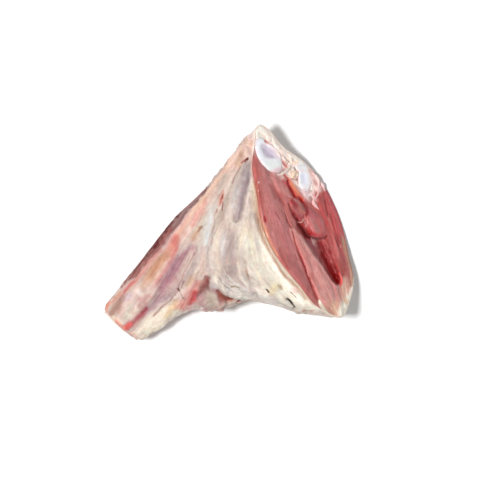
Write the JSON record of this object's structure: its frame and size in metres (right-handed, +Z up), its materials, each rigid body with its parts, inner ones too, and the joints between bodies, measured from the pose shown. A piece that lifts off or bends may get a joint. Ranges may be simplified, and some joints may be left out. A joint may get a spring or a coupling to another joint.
{
  "type": "mutton shank",
  "caption": "Raw mutton shank: a fan of meat on its shin bone, widening from a sawn narrow end to an oblique cut that shows muscle and the cartilage of the knuckle.",
  "frame": {"origin": "middle of the box seen from above, on the surface that the shank lies on", "axes": "+X along the shank from the sawn end to the cut, +Y towards the shin edge, +Z up, square to the surface that it lies on"},
  "size_m": [0.1925, 0.1561, 0.0686],
  "materials": {
    "meat": "moist raw muscle under a cream and pink cover of fat and silverskin",
    "bone": "glossy blue-white cartilage on pale bone"
  },
  "bodies": {
    "root": {"meat": "meat", "shin_bone": "bone"}
  },
  "joints": []
}
